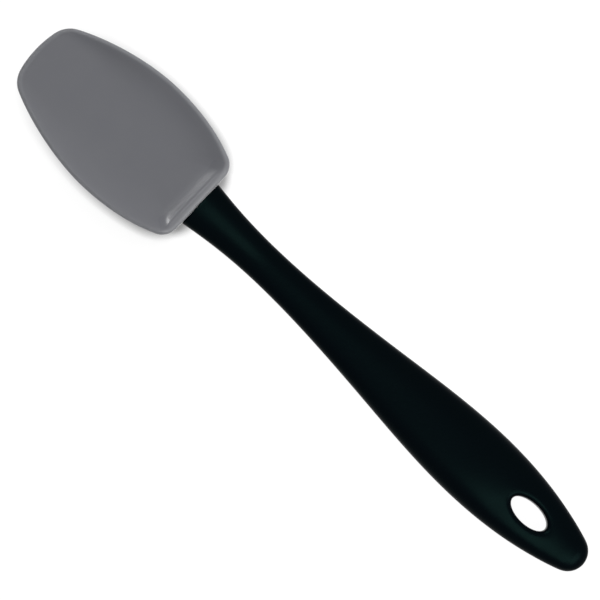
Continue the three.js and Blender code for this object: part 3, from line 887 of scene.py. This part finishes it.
# Matt white paper. For the camera and reflections most of its white is its own glow. Close to the head, more
# toward the back of it, the glow is dimmed where the head hems the paper in, a painted shadow, and a little
# less of the white is glow there, so that it gives the eye a clean white sheet with a soft shadow.
PAPER_WHITE = "F2F2F2"
PAPER_GLOW = 0.9
PAPER_GLOW_AT_HEAD = 0.8
OPEN_STRENGTH = 1.08
SHADED_STRENGTH = 0.26
SHADOW_REACH = 7.5 * MM
SHADOW_FADE = 6.0 * MM
SHADOW_SAMPLES = 32
OPEN_SKY = 0.84
COVERED_SKY = 0.54


def seen_rays(tree):
    """1 for what the camera, reflections and clear pieces see, and 0 for the light that falls on a piece."""
    rays = add_node(tree, "ShaderNodeLightPath")
    seen = rays.outputs["Is Camera Ray"]
    for kind in ("Is Glossy Ray", "Is Transmission Ray"):
        either = add_node(tree, "ShaderNodeMath", {0: seen, 1: rays.outputs[kind]}, operation="MAXIMUM")
        seen = either.outputs[0]
    return seen


tree = new_material(paper, "white_paper")
place = add_node(tree, "ShaderNodeTexCoord").outputs["Object"]
along = add_node(tree, "ShaderNodeSeparateXYZ", {"Vector": place}).outputs["X"]
# painted shadow: where along the paper it may fall, only near the head and most toward its back
behind = add_node(
    tree,
    "ShaderNodeMapRange",
    {"Value": along, "From Min": BACK - SHADOW_FADE, "From Max": BACK},
    interpolation_type="SMOOTHSTEP",
)
ahead = add_node(
    tree,
    "ShaderNodeMapRange",
    {"Value": along, "From Min": TIP, "From Max": BACK, "To Max": behind.outputs["Result"]},
)
# painted shadow: the paper's glow is dimmed by how closely the head hems the paper in
contact = add_node(tree, "ShaderNodeAmbientOcclusion", {"Distance": SHADOW_REACH}, samples=SHADOW_SAMPLES)
painted_shadow = add_node(
    tree,
    "ShaderNodeMapRange",
    {
        "Value": contact.outputs["AO"],
        "From Min": OPEN_SKY,
        "From Max": COVERED_SKY,
        "To Max": ahead.outputs["Result"],
    },
)
glow = add_node(
    tree,
    "ShaderNodeMapRange",
    {"Value": painted_shadow.outputs["Result"], "To Min": OPEN_STRENGTH, "To Max": SHADED_STRENGTH},
)
cover = add_node(
    tree,
    "ShaderNodeMapRange",
    {"Value": ahead.outputs["Result"], "To Min": PAPER_GLOW, "To Max": PAPER_GLOW_AT_HEAD},
)
share = add_node(
    tree, "ShaderNodeMath", {0: seen_rays(tree), 1: cover.outputs["Result"]}, operation="MULTIPLY"
)
matt = add_node(tree, "ShaderNodeBsdfDiffuse", {"Color": linear(PAPER_WHITE)})
light = add_node(tree, "ShaderNodeEmission", {"Strength": glow.outputs["Result"]})
both = add_node(
    tree, "ShaderNodeMixShader", {0: share.outputs[0], 1: matt.outputs["BSDF"], 2: light.outputs["Emission"]}
)
add_node(tree, "ShaderNodeOutputMaterial", {"Surface": both.outputs["Shader"]})

# Camera and light
# The camera looks almost straight down on the spoon, from a little toward its left side.
PIXEL = 0.36352 * MM
IMAGE_WIDTH = 600
LENS = 400.0
SENSOR = 36.0
VIEW_REACH = 20.0
TILT = math.radians(2.5)
IMAGE_RIGHT = Vector((-0.72681, -0.68683, 0))
TARGET = Vector((SEAM - 50.4 * MM, 0.58 * MM, 7.0 * MM))
distance = IMAGE_WIDTH * PIXEL * LENS / SENSOR
toward_camera = Vector((0, math.sin(TILT), math.cos(TILT)))
right = (IMAGE_RIGHT - toward_camera * IMAGE_RIGHT.dot(toward_camera)).normalized()
up = toward_camera.cross(right)
bpy.ops.object.camera_add(location=TARGET + toward_camera * distance)
camera = bpy.context.object
camera.rotation_euler = Matrix((right, up, toward_camera)).transposed().to_euler()
camera.data.lens = LENS
camera.data.sensor_width = SENSOR
camera.data.clip_end = VIEW_REACH
bpy.context.scene.camera = camera

# Light: a white tent with bright low walls, and a broad soft panel toward the right of the picture.
# Reflections see plain white, and small lamps give the shine: two for the ledge at the seam, one for the neck
# of the handle and two for its tail. Two of them give shine alone, and no light on the matt surfaces.
WALL_LIGHT = 2.5
WALL_TOP = 0.35
ROOF_LIGHT = 0.15
PANEL_LIGHT = 4.1
PANEL_HALF_ANGLES = (math.radians(14), math.radians(34))
PANEL_AT = Vector((-0.15, -1.0, 0.92)).normalized()
world = bpy.data.worlds.new("white_tent")
bpy.context.scene.world = world
world.use_nodes = True
tree = world.node_tree
tree.nodes.clear()
facing = add_node(tree, "ShaderNodeTexCoord").outputs["Generated"]
along = add_node(tree, "ShaderNodeSeparateXYZ", {"Vector": facing})
walls = add_node(
    tree,
    "ShaderNodeMapRange",
    {"Value": along.outputs["Z"], "From Max": WALL_TOP, "To Min": WALL_LIGHT, "To Max": ROOF_LIGHT},
    interpolation_type="SMOOTHSTEP",
)
toward_panel = add_node(tree, "ShaderNodeVectorMath", {0: facing, 1: PANEL_AT}, operation="DOT_PRODUCT")
panel = add_node(
    tree,
    "ShaderNodeMapRange",
    {
        "Value": toward_panel.outputs["Value"],
        "From Min": math.cos(PANEL_HALF_ANGLES[1]),
        "From Max": math.cos(PANEL_HALF_ANGLES[0]),
        "To Max": PANEL_LIGHT,
    },
    interpolation_type="SMOOTHSTEP",
)
both = {0: walls.outputs["Result"], 1: panel.outputs["Result"]}
tent = add_node(tree, "ShaderNodeMath", both, operation="ADD")
level = add_node(
    tree, "ShaderNodeMapRange", {"Value": seen_rays(tree), "To Min": tent.outputs[0], "To Max": 1.0}
)
tent = add_node(tree, "ShaderNodeBackground", {"Strength": level.outputs["Result"]})
add_node(tree, "ShaderNodeOutputWorld", {"Surface": tent.outputs["Background"]})


def add_lamp(name, place, size, share, only_shine=False):
    """A soft lamp aimed at the spoon. Its share is of full white, on a sheet that faces it."""
    bpy.ops.object.light_add(type="AREA", location=place)
    lamp = bpy.context.object
    lamp.name = lamp.data.name = name
    lamp.rotation_euler = Vector(place).to_track_quat("Z", "Y").to_euler()
    lamp.data.shape = "RECTANGLE"
    lamp.data.size, lamp.data.size_y = size
    lamp.visible_diffuse = not only_shine
    lamp.data.energy = share * math.pi**2 * Vector(place).length_squared


add_lamp("ledge_lamp", (0.96, -0.158, 1.14), (0.16, 0.16), 0.035)
add_lamp("glint_lamp", (0.957, -0.274, 1.12), (0.316, 0.08), 0.24, only_shine=True)
add_lamp("neck_lamp", (0.37, -0.07, 1.44), (0.36, 0.36), 0.115)
add_lamp("tail_lamp", (-0.62, 0.34, 1.4), (0.7, 0.7), 0.33)
add_lamp("tail_end_lamp", (-1.1, 0.06, 1.02), (0.6, 0.45), 0.24, only_shine=True)

bpy.context.scene.view_settings.view_transform = "Standard"
